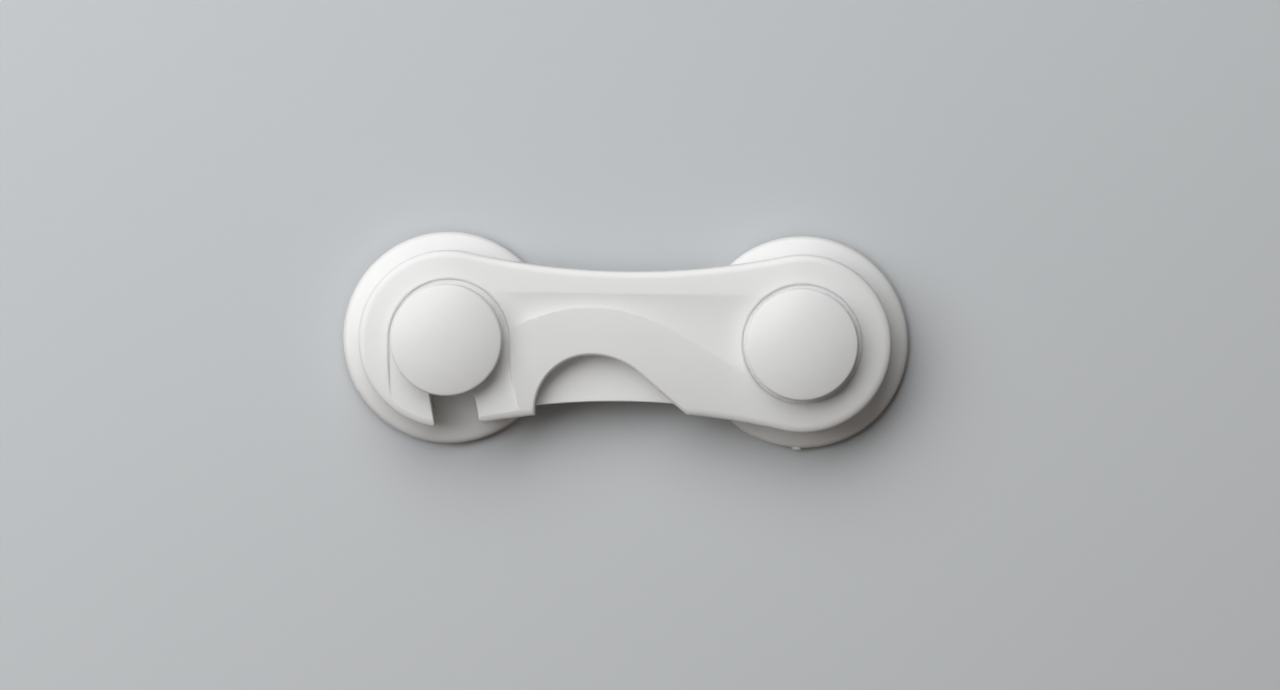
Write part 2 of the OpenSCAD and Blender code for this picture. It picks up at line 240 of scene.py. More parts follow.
class LockArmSizes(bpy.types.PropertyGroup):
    """Sizes of the arm's cover and of its back plate"""
    waist_w: length("Waist width", 27.5, "Width of the arm at its waist")
    edge: length("Edge width", 1.5, "Width over which the front rounds over into the side")
    edge_fall: length("Edge fall", 0.6, "Fall of the front over that width")
    crown: length("Crown", 1.25, "Fall of the crowned front from the arm's middle to its outline")
    rim: length("Rim radius", 0.3, "Radius of the softened edges of the slot and the back plate")
    face_t: length("Face", 1.6, "Thickness of the arm's front face")
    skirt_t: length("Skirt", 1.7, "Thickness of the skirt round the arm")
    pocket_depth: length("Pocket depth", 1, "Depth of the pocket and the ring round the caps")
    pocket_gap: length("Pocket gap", 0.8, "Gap between the catch cap and the pocket's wall")
    pocket_shift: length("Pocket shift", 0.4, "How far the pocket lies nearer to the hinge than the cap")
    ring_gap: length("Ring gap", 0.65, "Gap between the hinge cap and the ring's wall")
    wall_rim: length("Wall rim radius", 0.65, "Radius of the softer rims of the pocket and the ring")
    pocket_wall: length("Pocket wall", 1.5, "Wall between the pocket and the arm's hollow")
    floor_t: length("Floor", 2.8, "Thickness of the pocket's floor")
    nest_gap: length("Nest gap", 0.1, "Gap between the back plate and the cover round it")
    bore_r: length("Bore radius", 3.08, "Radius of the bore on the hinge neck")
    seat_r: length("Seat radius", 3.3, "Radius of the slot's seat on the catch neck")
    nub_u: length("Nub place", 3.15, "Distance of the nub from the swing circle")
    nub_s: length("Nub distance", 10.7, "Distance of the nub from the catch neck, down the slot")
    nub_foot_u: length("Nub foot place", 3.465, "Distance of the nub's foot from the swing circle")
    nub_l: length("Nub length", 0.6, "Length of the nub's flat top")
    nub_lead: length("Nub lead", 1.6, "Length of the slope that leads up to the nub")
    throat_l: length("Throat", 1.6, "Length over which the slot narrows")
    mouth_out: length("Mouth, hook side", 4.1, "Width of the mouth on the hook's side")
    mouth_in: length("Mouth, hinge side", 4.65, "Width of the mouth on the hinge's side")
    mouth_round: length("Mouth corner radius", 0.7, "Radius of the jaws' corners at the mouth")
    mouth_lead: length("Mouth corner lead", 0.91, "How far up from the outline the corners start")
    arch_shift: length("Arch shift", 6.4, "Distance of the arch's top from the arm's middle")
    arch_drop: length("Arch drop", 1.8, "Drop of the arch's top below the line of the necks")
    arch_out_r: length("Arch radius, hook side", 12, "Radius of the arch on the hook's side")
    arch_in_r: length("Arch radius, hinge side", 15.5, "Radius of the arch on the hinge's side")
    arch_slope: angle("Arch slope", 40.7, "Slope of the arch's straight flank")
    arch_wall: length("Arch wall", 1.7, "Thickness of the wall round the arch")
    arch_rim: length("Arch rim radius", 0.65, "Radius of the arch's soft front rim")
    arch_draft: length("Arch draft", 0.95, "How far the arch's wall stands in from its rim's middle")
    stake_r: length("Post radius", 1.2, "Radius of a post that joins the cover to the plate")
    stake_head_r: length("Post head radius", 1.9, "Radius of a post's melted head")
    stake_head_t: length("Post head", 0.7, "Thickness of a post's melted head")
    stake_dome: length("Post dome", 0.25, "Height of the low dome on that head")
    stake_gap: length("Post gap", 0.06, "Gap round a post in the back plate")


class LockScoopSizes(bpy.types.PropertyGroup):
    """Sizes of the shallow scoop in the arm's face"""
    crease_z: length("Crease height", 9.5, "Height of the straight upper crease")
    crest_z: length("Crest height", 6.6, "Height of the lower crest at its highest point")
    crest_r: length("Crest radius", 31, "Radius of the crest's round part")
    crest_slope: angle("Crest slope", 29.7, "Slope of the crest's straight part")
    fall: share("Fall", 0.2, "Slope of the scoop's surface at the crease and at the crest")
    hook_fade: length("Hook fade", 6, "Distance over which the scoop flattens at the pocket")
    hook_fade_share: share("Hook fade share", 0.94, "Share of its depth that it loses there")
    hinge_fade: length("Hinge fade", 4, "Distance over which the scoop flattens at the ring")
    hinge_fade_share: share("Hinge fade share", 0.3, "Share of its depth that it loses there")


class LockColours(bpy.types.PropertyGroup):
    """Colours of the materials and of the stage"""
    plastic: colour("Plastic", "#F1F2F1", "White ABS")
    plastic_shade: colour("Plastic shade", "#EAEBEA", "White ABS where the melt ran cooler")
    foam: colour("Foam", "#E8E7E1", "Polyethylene foam")
    # Painted shade: the foam's cut cells are painted darker in their hollows
    foam_cell: colour("Foam cell", "#D3D1C8", "The open cells in the foam's cut edge")
    film: colour("Film", "#DDDBD1", "Acrylic adhesive film")
    zinc: colour("Zinc", "#C3C6CA", "Zinc plating")
    zinc_shade: colour("Zinc shade", "#A7A9AB", "Zinc plating where it has dulled")
    floor: colour("Floor", "#ECEEEF", "Matt floor")
    board: colour("Board", "#D3D7DA", "Matt board that the lock is stuck on")
    bounce: colour("Bounce", "#726963", "What the stage throws back on the lock")
    backdrop: colour("Backdrop", "#DDE0E3", "The even backdrop behind everything")


class LockStageSettings(bpy.types.PropertyGroup):
    """Camera, lamps and backdrop"""
    distance: length("Camera distance", 1350, "Distance of the camera from its aim")
    field: length("Field width", 253, "Width of the view at the aim")
    aim_x: length("Aim along the arm", -32.05, "Place of the view's middle along the arm", -1000)
    aim_z: length("Aim height", -0.86, "Height of the view's middle over the necks", -1000)
    rise: angle("Camera rise", 2.46, "How far above the square view the camera stands")
    turn: angle("Camera turn", 1.1, "How far to the right of the square view it stands")
    roll: angle("Camera roll", 0.71, "Turn of the camera about its own line of sight")
    key_power: power("Key power", 13.9, "Power of the key lamp")
    fill_power: power("Fill power", 0.1, "Power of the fill lamp")
    back_power: power("Back power", 12, "Power of the lamp behind the board")
    world: share("World strength", 0.03, "Strength of the even light from all round")
    floor_z: length("Floor drop", 120, "Distance of the floor below the necks")
    floor_w: length("Floor width", 3600, "Width of the square floor")
    board_w: length("Board width", 900, "Width of the board behind the lock")
    board_h: length("Board height", 700, "Height of the board behind the lock")
    board_gap: length("Board gap", 0.02, "Hair's breadth between the pads and the board")


def settings(name):
    """A property group of the scene, read in millimetres and degrees"""
    return in_mm(getattr(bpy.context.scene, name))


def deselect_all():
    bpy.ops.object.select_all(action="DESELECT")


def make_active(piece):
    deselect_all()
    piece.select_set(True)
    bpy.context.view_layer.objects.active = piece


def start_piece(name):
    """Names the primitive that was just added and opens it in edit mode"""
    piece = bpy.context.object
    piece.name = name
    piece.data.name = name
    bpy.ops.object.mode_set(mode="EDIT")
    return piece


def turn_faces_out(piece):
    make_active(piece)
    bpy.ops.object.mode_set(mode="EDIT")
    bpy.ops.mesh.select_all(action="SELECT")
    bpy.ops.mesh.remove_doubles(threshold=MERGE)
    bpy.ops.mesh.normals_make_consistent(inside=False)
    bpy.ops.object.mode_set(mode="OBJECT")


def fix_place(piece):
    """Brings a piece's place, turn and scale into its mesh"""
    make_active(piece)
    bpy.ops.object.transform_apply(location=True, rotation=True, scale=True)


def arc(centre, radius, start, end, steps):
    """Points of an arc between two angles in degrees, with both ends"""
    turns = [math.radians(start + (end - start) * i / steps) for i in range(steps + 1)]
    return [(centre[0] + radius * math.cos(t), centre[1] + radius * math.sin(t)) for t in turns]


def straight(start, end):
    """Points of a straight line between two places, with both ends"""
    shares = [i / ARC_STEPS for i in range(ARC_STEPS + 1)]
    return [tuple(Vector(start).lerp(Vector(end), t)) for t in shares]


def circle(radius):
    return arc((0, 0), radius, 0, 360, TURN_STEPS)[:-1]


def rounding(width, fall, steps=EDGE_STEPS, rest=0):
    """A quarter round or oval, from the side up to the front, or to rest degrees short of it.

    It is given as pairs of how far each point has drawn in and how far it still lies below.
    """
    turns = [math.radians((90 - rest) * i / steps) for i in range(steps + 1)]
    return [(width * (1 - math.cos(t)), fall * (1 - math.sin(t))) for t in turns]


def smooth(t):
    """Smooth step from 0 to 1"""
    t = min(max(t, 0), 1)
    return t * t * (3 - 2 * t)


def lofted(name, rings):
    """A closed solid through rings of (x, y, depth) points, listed from back to front.

    A filled circle is extruded once for each further ring, and then each ring is laid on its points.
    """
    deselect_all()
    count = len(rings[0])
    bpy.ops.mesh.primitive_circle_add(vertices=count, radius=1, fill_type="NGON")
    piece = start_piece(name)
    for _ in rings[1:]:
        bpy.ops.mesh.extrude_region_move(TRANSFORM_OT_translate={"value": (0, 0, 1)})
    bpy.ops.object.mode_set(mode="OBJECT")
    for vertex in piece.data.vertices:
        turn = math.atan2(-vertex.co.x, vertex.co.y) / (2 * math.pi)
        vertex.co = rings[round(vertex.co.z)][round(turn * count) % count]
    turn_faces_out(piece)
    return piece


def at_depth(outline, depth):
    return [(x, y, depth) for x, y in outline]


def prism(name, outline, back, front):
    return lofted(name, [at_depth(outline, back), at_depth(outline, front)])


def turned(name, section, place=(0, 0)):
    """A round piece that stands at a place, spun from its half section of (radius, depth) points.

    The section's line is drawn by extruding one vertex. It closes on itself unless it meets the axis.
    """
    deselect_all()
    bpy.ops.mesh.primitive_plane_add(size=1)
    piece = start_piece(name)
    bpy.ops.mesh.merge(type="CENTER")
    bpy.ops.transform.translate(value=(section[0][0], 0, section[0][1]))
    line = section if section[0][0] == 0 else section + section[:1]
    for (r, d), (next_r, next_d) in zip(line, line[1:]):
        bpy.ops.mesh.extrude_vertices_move(
            TRANSFORM_OT_translate={"value": (next_r - r, 0, next_d - d)})
    bpy.ops.mesh.select_all(action="SELECT")
    bpy.ops.mesh.spin(
        steps=TURN_STEPS, angle=2 * math.pi, center=(0, 0, 0), axis=(0, 0, 1))
    bpy.ops.object.mode_set(mode="OBJECT")
    turn_faces_out(piece)
    piece.location = (*place, 0)
    fix_place(piece)
    return piece


def combine(piece, tool, operation="DIFFERENCE"):
    """Cuts the tool from the piece, or joins it on, and takes the tool away"""
    make_active(piece)
    bpy.ops.object.modifier_add(type="BOOLEAN")
    modifier = piece.modifiers[-1]
    modifier.operation = operation
    modifier.solver = "EXACT"
    modifier.object = tool
    bpy.ops.object.modifier_apply(modifier=modifier.name)
    bpy.data.objects.remove(tool)


def grown(outline, amount):
    """A closed outline moved outwards, each point along the bisector of its two sides"""
    points = [Vector(p) for p in outline]
    moved = []
    for before, here, after in zip(points[-1:] + points[:-1], points, points[1:] + points[:1]):
        first = (here - before).normalized()
        second = (after - here).normalized()
        bisector = (first + second).normalized()
        out = Vector((bisector.y, -bisector.x))
        stretch = 1 / max(out.dot(Vector((first.y, -first.x))), 1 / MITRE_LIMIT)
        moved.append(tuple(here + out * amount * stretch))
    return moved


def stand_up(piece, shift):
    """Stands a flat-drawn piece up against the door and brings it from millimetres to metres"""
    piece.rotation_euler = Euler((math.pi / 2, 0, 0))
    piece.scale = (MM, MM, MM)
    piece.location = (shift * MM, 0, 0)
    fix_place(piece)
    bpy.ops.object.shade_smooth_by_angle(angle=math.radians(SHARP_ANGLE))
    bpy.ops.object.modifier_add(type="WEIGHTED_NORMAL")
    modifier = piece.modifiers[-1]
    modifier.keep_sharp = True
    bpy.ops.object.modifier_apply(modifier=modifier.name)


def copied(piece):
    """A copy with a mesh of its own"""
    make_active(piece)
    bpy.ops.object.duplicate()
    return bpy.context.object


def finish_piece(piece, node, form, material, shift=0):
    """Puts a piece in the place of its solid: stood up and named, with its finish and body"""
    if not piece.data.polygons:
        raise RuntimeError("No faces are left for " + node)
    stand_up(piece, shift)
    piece.name = piece.data.name = node + "_" + form
    piece.data.materials.clear()
    piece.data.materials.append(material)
    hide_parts(node)
    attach(piece, frame["nodes"][node]["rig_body"])


def connect(tree, node, inputs):
    """Links or sets a node's inputs, by name or number"""
    for name, value in inputs.items():
        if isinstance(value, bpy.types.NodeSocket):
            tree.links.new(value, node.inputs[name])
        else:
            node.inputs[name].default_value = value


def add_node(tree, kind, inputs=None, **values):
    """Adds a shader node with its own settings, and links or sets its inputs"""
    node = tree.nodes.new(kind)
    for name, value in values.items():
        setattr(node, name, value)
    connect(tree, node, inputs or {})
    return node


def new_material(name):
    """An empty material, with its tree, its shader and its output"""
    old = bpy.data.materials.get(name)
    if old:
        bpy.data.materials.remove(old)
    material = bpy.data.materials.new(name)
    material.use_nodes = True
    tree = material.node_tree
    tree.nodes.clear()
    shader = add_node(tree, "ShaderNodeBsdfPrincipled")
    output = add_node(tree, "ShaderNodeOutputMaterial", {"Surface": shader.outputs[0]})
    return material, tree, shader, output


def per_metre(size_mm):
    """A pattern's scale, from the size of one of its features"""
    return 1 / (size_mm * MM)


def rgba(values):
    return (*values, 1)


def moulded_abs():
    """White ABS, injection moulded in a finely spark-eroded tool.

    It gives the eye a satin sheen that breaks up a little: a fine grain, a slow waviness where the
    melt shrank, faint flow clouds, and hair scratches from handling.
    """
    colours = settings("lock_colours")
    material, tree, shader, _ = new_material("moulded_white_abs")
    place = add_node(tree, "ShaderNodeTexCoord").outputs["Object"]
    # The real grain is about 0.05 mm. It is drawn at 0.22 mm, so that it shows.
    grain = add_node(tree, "ShaderNodeTexNoise", {
        "Vector": place, "Scale": per_metre(0.22), "Detail": 2.0, "Roughness": 0.6})
    waves = add_node(tree, "ShaderNodeTexNoise", {
        "Vector": place, "Scale": per_metre(9), "Detail": 1.0})
    clouds = add_node(tree, "ShaderNodeTexNoise", {
        "Vector": place, "Scale": per_metre(14), "Detail": 3.0, "Distortion": 0.4})
    # The hair scratches run on a slant. They are 9 mm long and drawn 0.5 mm wide, so that they show.
    stretched = add_node(tree, "ShaderNodeMapping", {
        "Vector": place, "Rotation": (0.3, 0.9, 0.5), "Scale": (1, 1, 18)})
    hairs = add_node(tree, "ShaderNodeTexNoise", {
        "Vector": stretched.outputs[0], "Scale": per_metre(9), "Detail": 2.0})
    scratches = add_node(tree, "ShaderNodeMapRange", {
        "Value": hairs.outputs[0], "From Min": 0.66, "From Max": 0.72})
    tint = add_node(tree, "ShaderNodeMix", {
        "Factor": clouds.outputs[0], FIRST_COLOUR: rgba(colours.plastic),
        SECOND_COLOUR: rgba(colours.plastic_shade)}, data_type="RGBA")
    satin = add_node(tree, "ShaderNodeMapRange", {
        "Value": clouds.outputs[0], "From Min": 0.3, "From Max": 0.7, "To Min": 0.28, "To Max": 0.36})
    worn = add_node(tree, "ShaderNodeMath", {
        0: scratches.outputs[0], 1: 0.08, 2: satin.outputs[0]}, operation="MULTIPLY_ADD")
    slow = add_node(tree, "ShaderNodeBump", {
        "Height": waves.outputs[0], "Strength": 0.35, "Distance": 0.05 * MM})
    fine = add_node(tree, "ShaderNodeBump", {
        "Height": grain.outputs[0], "Strength": 0.5, "Distance": 0.006 * MM,
        "Normal": slow.outputs[0]})
    connect(tree, shader, {
        "Base Color": tint.outputs[MIXED], "Roughness": worn.outputs[0], "IOR": 1.53,
        "Normal": fine.outputs[0]})
    return material


def abs_plastic():
    """The one white ABS of all the mouldings, made when the first of them asks for it"""
    return bpy.data.materials.get("moulded_white_abs") or moulded_abs()


def cut_foam():
    """Closed-cell polyethylene foam, cut with a die: a matt edge with small open cells, their hollows
    darkened with painted shade
    """
    colours = settings("lock_colours")
    material, tree, shader, _ = new_material("closed_cell_foam")
    place = add_node(tree, "ShaderNodeTexCoord").outputs["Object"]
    cells = add_node(tree, "ShaderNodeTexVoronoi", {"Vector": place, "Scale": per_metre(0.35)})
    depth = add_node(tree, "ShaderNodeMapRange", {
        "Value": cells.outputs["Distance"], "From Min": 0.1, "From Max": 0.6})
    # Painted shade: the colour darkens where the cells' hollows lie low in the bump
    tint = add_node(tree, "ShaderNodeMix", {
        "Factor": depth.outputs[0], FIRST_COLOUR: rgba(colours.foam_cell),
        SECOND_COLOUR: rgba(colours.foam)}, data_type="RGBA")
    bump = add_node(tree, "ShaderNodeBump", {
        "Height": depth.outputs[0], "Strength": 0.8, "Distance": 0.06 * MM})
    connect(tree, shader, {
        "Base Color": tint.outputs[MIXED], "Roughness": 0.9, "Normal": bump.outputs[0]})
    return material


def adhesive_film():
    """Acrylic adhesive on a rolled film: a dull gloss with trapped bubbles over the foam's cells"""
    colours = settings("lock_colours")
    material, tree, shader, _ = new_material("acrylic_adhesive_film")
    place = add_node(tree, "ShaderNodeTexCoord").outputs["Object"]
    bubbles = add_node(tree, "ShaderNodeTexVoronoi", {
        "Vector": place, "Scale": per_metre(3.2)}, feature="SMOOTH_F1")
    spots = add_node(tree, "ShaderNodeMapRange", {
        "Value": bubbles.outputs["Distance"], "From Min": 0.08, "From Max": 0.22,
        "To Min": 1.0, "To Max": 0.0})
    cells = add_node(tree, "ShaderNodeTexVoronoi", {"Vector": place, "Scale": per_metre(0.6)})
    tint = add_node(tree, "ShaderNodeMix", {
        "Factor": spots.outputs[0], FIRST_COLOUR: rgba(colours.film),
        SECOND_COLOUR: rgba(colours.foam)}, data_type="RGBA")
    fine = add_node(tree, "ShaderNodeBump", {
        "Height": cells.outputs["Distance"], "Strength": 0.5, "Distance": 0.03 * MM})
    raised = add_node(tree, "ShaderNodeBump", {
        "Height": spots.outputs[0], "Strength": 0.6, "Distance": 0.05 * MM,
        "Normal": fine.outputs[0]})
    gloss = add_node(tree, "ShaderNodeMapRange", {
        "Value": spots.outputs[0], "To Min": 0.38, "To Max": 0.6})
    connect(tree, shader, {
        "Base Color": tint.outputs[MIXED], "Roughness": gloss.outputs[0],
        "Normal": raised.outputs[0]})
    return material


def zinc_plate():
    """Bright zinc on a rolled steel screw: a soft metal sheen with duller patches"""
    colours = settings("lock_colours")
    material, tree, shader, _ = new_material("zinc_plated_steel")
    place = add_node(tree, "ShaderNodeTexCoord").outputs["Object"]
    patches = add_node(tree, "ShaderNodeTexNoise", {
        "Vector": place, "Scale": per_metre(0.8), "Detail": 4.0})
    tint = add_node(tree, "ShaderNodeMix", {
        "Factor": patches.outputs[0], FIRST_COLOUR: rgba(colours.zinc),
        SECOND_COLOUR: rgba(colours.zinc_shade)}, data_type="RGBA")
    dull = add_node(tree, "ShaderNodeMapRange", {
        "Value": patches.outputs[0], "To Min": 0.28, "To Max": 0.46})
    connect(tree, shader, {
        "Base Color": tint.outputs[MIXED], "Roughness": dull.outputs[0], "Metallic": 1.0})
    return material


def seen_ray(tree):
    """1 for what the camera sees, itself or in a reflection, and 0 for light that spreads"""
    rays = add_node(tree, "ShaderNodeLightPath").outputs
    seen = rays["Is Camera Ray"]
    for name in ("Is Glossy Ray", "Is Transmission Ray"):
        seen = add_node(tree, "ShaderNodeMath", {0: seen, 1: rays[name]}, operation="MAXIMUM").outputs[0]
    return seen


def stage_paint(name, tone, bounce):
    """Matt paint on the side that faces the lock, which throws little light back on it.

    Seen from behind, the stage isn't there, and it keeps no lamp off what the camera sees.
    """
    material, tree, shader, output = new_material(name)
    paint = add_node(tree, "ShaderNodeMix", {
        "Factor": seen_ray(tree), FIRST_COLOUR: rgba(bounce),
        SECOND_COLOUR: rgba(tone)}, data_type="RGBA")
    connect(tree, shader, {
        "Base Color": paint.outputs[MIXED], "Roughness": 0.9, "Specular IOR Level": 0.2})
    clear = add_node(tree, "ShaderNodeBsdfTransparent")
    behind = add_node(tree, "ShaderNodeNewGeometry").outputs["Backfacing"]
    rays = add_node(tree, "ShaderNodeLightPath").outputs
    direct = add_node(tree, "ShaderNodeMath", {
        0: rays["Is Shadow Ray"], 1: rays["Diffuse Depth"]}, operation="GREATER_THAN")
    gone = add_node(tree, "ShaderNodeMath", {0: behind, 1: direct.outputs[0]}, operation="MAXIMUM")
    mix = add_node(tree, "ShaderNodeMixShader", {
        0: gone.outputs[0], 1: shader.outputs[0], 2: clear.outputs[0]})
    connect(tree, output, {"Surface": mix.outputs[0]})
    return material


class ArmPlan:
    """The arm's outlines as seen from the front, and the height of its face at each place"""

    def __init__(self):
        self.sizes = settings("lock_arm")
        self.scoop = settings("lock_scoop")
        self.half_pitch = PITCH / 2
        self.waist_h = self.sizes.waist_w / 2
        self.waist_r = (self.half_pitch ** 2 + self.waist_h ** 2 - LOBE_R ** 2) / (
            2 * (LOBE_R - self.waist_h))
        self.waist_angle = math.degrees(math.asin(self.half_pitch / (LOBE_R + self.waist_r)))
        self.pocket_r = CAP_R + self.sizes.pocket_gap
        self.ring_r = CAP_R + self.sizes.ring_gap
        self.floor_front = ARM_FRONT - self.sizes.pocket_depth
        self.floor_back = self.floor_front - self.sizes.floor_t

    def outline(self, inset=0):
        """The dog-bone, drawn in by inset: hinge lobe, upper waist, hook lobe, lower waist"""
        end = 90 + self.waist_angle
        waist_c = (-self.half_pitch, self.waist_h + self.waist_r)
        r, w = LOBE_R - inset, self.waist_r + inset
        return (
            arc((0, 0), r, -end, end, LOBE_STEPS)[:-1]
            + arc(waist_c, w, end - 180, -end, WAIST_STEPS)[:-1]
            + arc((-PITCH, 0), r, 180 - end, 180 + end, LOBE_STEPS)[:-1]
            + arc((waist_c[0], -waist_c[1]), w, end, 180 - end, WAIST_STEPS)[:-1])

    def inset_at(self, x, z):
        """Distance of a place from the arm's outline, inwards"""
        along = abs(x + self.half_pitch)
        touch = self.half_pitch * self.waist_r / (LOBE_R + self.waist_r)
        if along >= touch:
            return LOBE_R - math.hypot(along - self.half_pitch, z)
        return math.hypot(along, self.waist_h + self.waist_r - abs(z)) - self.waist_r

    def crest_at(self, x):
        """Height of the scoop's lower crest, an arc and a straight slope, at a place along the arm"""
        p = self.scoop
        along = max(x + self.half_pitch + self.sizes.arch_shift, -p.crest_r)
        slope = math.radians(p.crest_slope)
        knee = p.crest_r * math.sin(slope)
        base = p.crest_z - p.crest_r
        if along < knee:
            return base + math.sqrt(p.crest_r ** 2 - along ** 2)
        return base + p.crest_r * math.cos(slope) - (along - knee) * math.tan(slope)

    def scoop_depth(self, x, z):
        """Depth of the scoop below the face. It is negative outside the crease and the crest."""
        p = self.scoop
        span = p.crease_z - self.crest_at(x)
        t = (p.crease_z - z) / span
        depth = p.fall * span * t * (1 - t)
        for centre_x, wall_r, fade, lost in (
                (-PITCH, self.pocket_r, p.hook_fade, p.hook_fade_share),
                (0, self.ring_r, p.hinge_fade, p.hinge_fade_share)):
            away = math.hypot(x - centre_x, z) - wall_r
            depth *= 1 - lost * (1 - smooth(away / fade))
        return depth

    def crown_at(self, inset):
        """Fall of the crowned front at a distance from the outline"""
        return self.sizes.crown * (1 - min(inset, self.waist_h) / self.waist_h) ** 2

    def floor_at(self, x, z):
        """Depth of the pocket's flat floor, or of the crowned face where that lies lower"""
        return min(self.floor_front, self.face_at(x, z))

    def face_at(self, x, z):
        """Depth of the arm's face at a place, with the scoop and the rounded edge.

        In the outer quarter of the edge's width, where the edge falls steeply, it falls no further.
        """
        edge = self.sizes.edge
        inset = max(self.inset_at(x, z), edge / 4)
        short = max(1 - inset / edge, 0)
        fall = self.sizes.edge_fall * (1 - math.sqrt(1 - short ** 2))
        face = ARM_FRONT - self.crown_at(inset) - fall
        if -PITCH < x < 0 and self.crest_at(x) < z < self.scoop.crease_z:
            face -= max(self.scoop_depth(x, z), 0)
        return face

    def crowned_rings(self, inset, back, front, profile):
        """Rings from back to front: the side, then an edge with the given profile, then the crown"""
        rings = [at_depth(self.outline(inset), back)]
        for drawn, below in profile:
            rings.append(at_depth(
                self.outline(inset + drawn), front - self.crown_at(inset + drawn) - below))
        start = inset + profile[-1][0]
        for i in range(1, CROWN_STEPS):
            here = start + (self.waist_h - start) * i / CROWN_STEPS
            rings.append(at_depth(self.outline(here), front - self.crown_at(here)))
        return rings

    def along_swing(self, u, s):
        """A place beside the catch neck: u outward from the swing circle, s down along it"""
        turn = math.pi + s / PITCH
        return ((PITCH + u) * math.cos(turn), (PITCH + u) * math.sin(turn))

    def post_places(self):
        """Where the posts stand that join the cover to the back plate"""
        return [
            (-self.half_pitch + along * self.half_pitch, across * self.waist_h)
            for along, across in POST_SHARES]

    def pocket(self, half):
        """The pocket's outline: round over the catch neck, then down along the swing circle"""
        sides = [s * LOBE_R * 2 / ARC_STEPS for s in range(1, ARC_STEPS + 1)]
        shift = self.sizes.pocket_shift
        return (
            arc((shift - PITCH, 0), half, 0, 180, ARC_STEPS * 2)
            + [self.along_swing(half - shift, s) for s in sides]
            + [self.along_swing(-half - shift, s) for s in reversed(sides)])

    def slot(self):
        """The hook's slot: seat, throat with its nub, and a mouth with rounded corners"""
        p = self.sizes
        throat_s = p.nub_s - p.nub_l - p.nub_lead / 2
        seat_s = throat_s - p.throat_l
        seat = [s * seat_s / ARC_STEPS for s in range(1, ARC_STEPS + 1)]
        left_end = self.mouth_end(p.mouth_out, 1)
        right_end = self.mouth_end(-p.mouth_in, -1)
        return (
            arc((-PITCH, 0), p.seat_r, 0, 180, ARC_STEPS)
            + [self.along_swing(p.seat_r, s) for s in seat]
            + [self.along_swing(p.mouth_out, throat_s)]
            + left_end + list(reversed(right_end))
            + [self.along_swing(-p.mouth_in, p.nub_s + p.nub_lead),
               self.along_swing(-p.nub_u, p.nub_s), self.along_swing(-p.nub_u, p.nub_s - p.nub_l),
               self.along_swing(-p.nub_foot_u, throat_s)]
            + [self.along_swing(-p.seat_r, s) for s in reversed(seat)])

    def mouth_end(self, u, side):
        """One flank's end: a quarter round out to the arm's outline, and on past it"""
        r = self.sizes.mouth_round
        places = (s / TRIES_PER_MM for s in range(round(2 * LOBE_R * TRIES_PER_MM)))
        edge_s = next(s for s in places if self.inset_at(*self.along_swing(u, s)) < 0)
        # The outline crosses the flank at a slant, so the round starts further up than its radius
        end = edge_s - self.sizes.mouth_lead + r
        quarter = [
            self.along_swing(u + side * drawn, end - below)
            for drawn, below in rounding(r, r, CORNER_STEPS)[:-1]]
        return quarter + [self.along_swing(u + side * r, edge_s + LOBE_R / 2)]

    def arch(self):
        """The finger arch: two arcs and a straight flank, open below the arm"""
        p = self.sizes
        slope = math.radians(p.arch_slope)
        top = (-self.half_pitch - p.arch_shift, -p.arch_drop)
        out_c = (top[0], top[1] - p.arch_out_r)
        in_c = (top[0], top[1] - p.arch_in_r)
        knee = (in_c[0] + p.arch_in_r * math.sin(slope), in_c[1] + p.arch_in_r * math.cos(slope))
        bottom = -2 * LOBE_R
        side_x = out_c[0] - p.arch_out_r
        foot_x = knee[0] + (knee[1] - bottom) / math.tan(slope)
        points = (
            straight((side_x, bottom), (side_x, out_c[1]))[:-1]
            + arc(out_c, p.arch_out_r, 180, 90, ARC_STEPS)[:-1]
            + arc(in_c, p.arch_in_r, 90, 90 - p.arch_slope, ARC_STEPS)
            + straight(knee, (foot_x, bottom))[1:])
        return list(reversed(points))

    def rim_tool(self, name, outline, back, rim, top_at):
        """A tool that cuts an outline down to back, and rounds the rim that it leaves in a surface"""
        rings = [at_depth(outline, back)]
        floor = back
        for drawn, below in rounding(rim, rim, RIM_STEPS, RIM_REST):
            floor += RING_RISE
            shape = grown(outline, drawn)
            rings.append([(x, z, max(floor, top_at(x, z) - below)) for x, z in shape])
        rings.append(at_depth(shape, ARM_FRONT + OVERRUN))
        return lofted(name, rings)

    def scoop_tool(self):
        """A tool with the scoop's surface for its back, drawn as a grid and extruded forwards"""
        deselect_all()
        bpy.ops.mesh.primitive_grid_add(
            x_subdivisions=SCOOP_COLUMNS, y_subdivisions=SCOOP_ROWS, size=2)
        piece = start_piece("scoop_tool")
        bpy.ops.mesh.extrude_region_move(TRANSFORM_OT_translate={"value": (0, 0, 1)})
        bpy.ops.object.mode_set(mode="OBJECT")
        reach = self.pocket_r - OVERRUN
        past = OVERRUN / 2
        for vertex in piece.data.vertices:
            along, up = (vertex.co.x + 1) / 2, (vertex.co.y + 1) / 2
            height = self.scoop.crest_z * (1 - up) + self.scoop.crease_z * up
            first = -PITCH + math.sqrt(reach ** 2 - height ** 2)
            last = -math.sqrt(reach ** 2 - self.scoop.crease_z ** 2 * up)
            x = first + (last - first) * along
            low, high = self.crest_at(x) - past, self.scoop.crease_z + past
            z = low + (high - low) * up
            floor = ARM_FRONT - self.crown_at(self.inset_at(x, z)) - self.scoop_depth(x, z)
            vertex.co = (x, z, ARM_FRONT + OVERRUN if vertex.co.z > 0.5 else floor)
        turn_faces_out(piece)
        return piece


